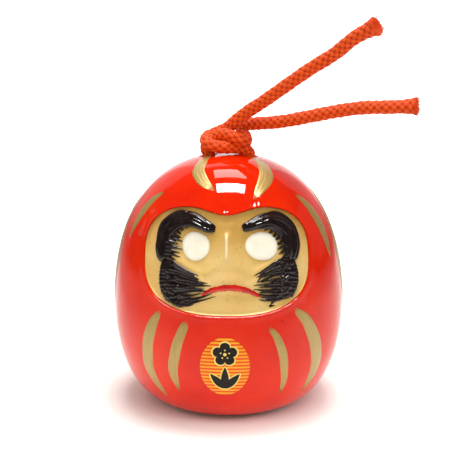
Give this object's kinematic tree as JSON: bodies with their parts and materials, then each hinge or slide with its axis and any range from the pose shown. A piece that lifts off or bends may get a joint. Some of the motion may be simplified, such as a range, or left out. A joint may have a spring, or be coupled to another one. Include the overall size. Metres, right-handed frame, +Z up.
{
  "type": "daruma doll",
  "caption": "Hollow glazed clay doll bell with a moulded bearded face, a loose clay ball inside, a sound slit underneath and a knotted braided carrying cord.",
  "frame": {"origin": "centre of the body's bounding box at the surface it stands on, without the cord", "axes": "+Z up from base to crown, -Y out through the face, +X to the viewer's right"},
  "size_m": [0.0878, 0.0704, 0.1153],
  "materials": {
    "red_glaze": "high gloss red-orange glaze",
    "bisque_clay": "matt unglazed fired clay",
    "face_pearl": "satin pearl beige-gold paint",
    "eye_cream": "satin off-white slip",
    "lip_red": "gloss red slip",
    "black_slip": "gloss black raised slip",
    "gold_paint": "brushed satin gold paint",
    "label_foil": "printed gloss label with fine stripes",
    "label_ink": "black print with a yellow edge",
    "braid": "braided polyester cord"
  },
  "bodies": {
    "shell": {"shell_front": "red_glaze", "shell_back": "red_glaze", "face_panel": "face_pearl", "eye_left": "eye_cream", "eye_right": "eye_cream", "mouth": "lip_red", "brow_left": "black_slip", "brow_right": "black_slip", "beard_left": "black_slip", "beard_right": "black_slip", "forehead_stroke_left": "gold_paint", "forehead_stroke_right": "gold_paint", "temple_stroke_left": "gold_paint", "temple_stroke_right": "gold_paint", "side_stroke_left": "gold_paint", "side_stroke_right": "gold_paint", "belly_outer_left": "gold_paint", "belly_outer_right": "gold_paint", "belly_inner_left": "gold_paint", "belly_inner_right": "gold_paint", "label": "label_foil", "label_blossom": "label_ink", "label_leaves": "label_ink"},
    "ball": {"rattle_ball": "bisque_clay"},
    "cord": {"cord_loop": "braid", "cord_knot": "braid", "tail_upper": "braid", "tail_lower": "braid"}
  },
  "joints": [
    {"name": "ball_roll", "type": "slide", "parent": "shell", "child": "ball", "axis": [1, 0, 0], "range_m": [-0.011, 0.011]},
    {"name": "cord_lift", "type": "slide", "parent": "shell", "child": "cord", "axis": [0, 0, 1], "range_m": [0, 0.0022]}
  ]
}
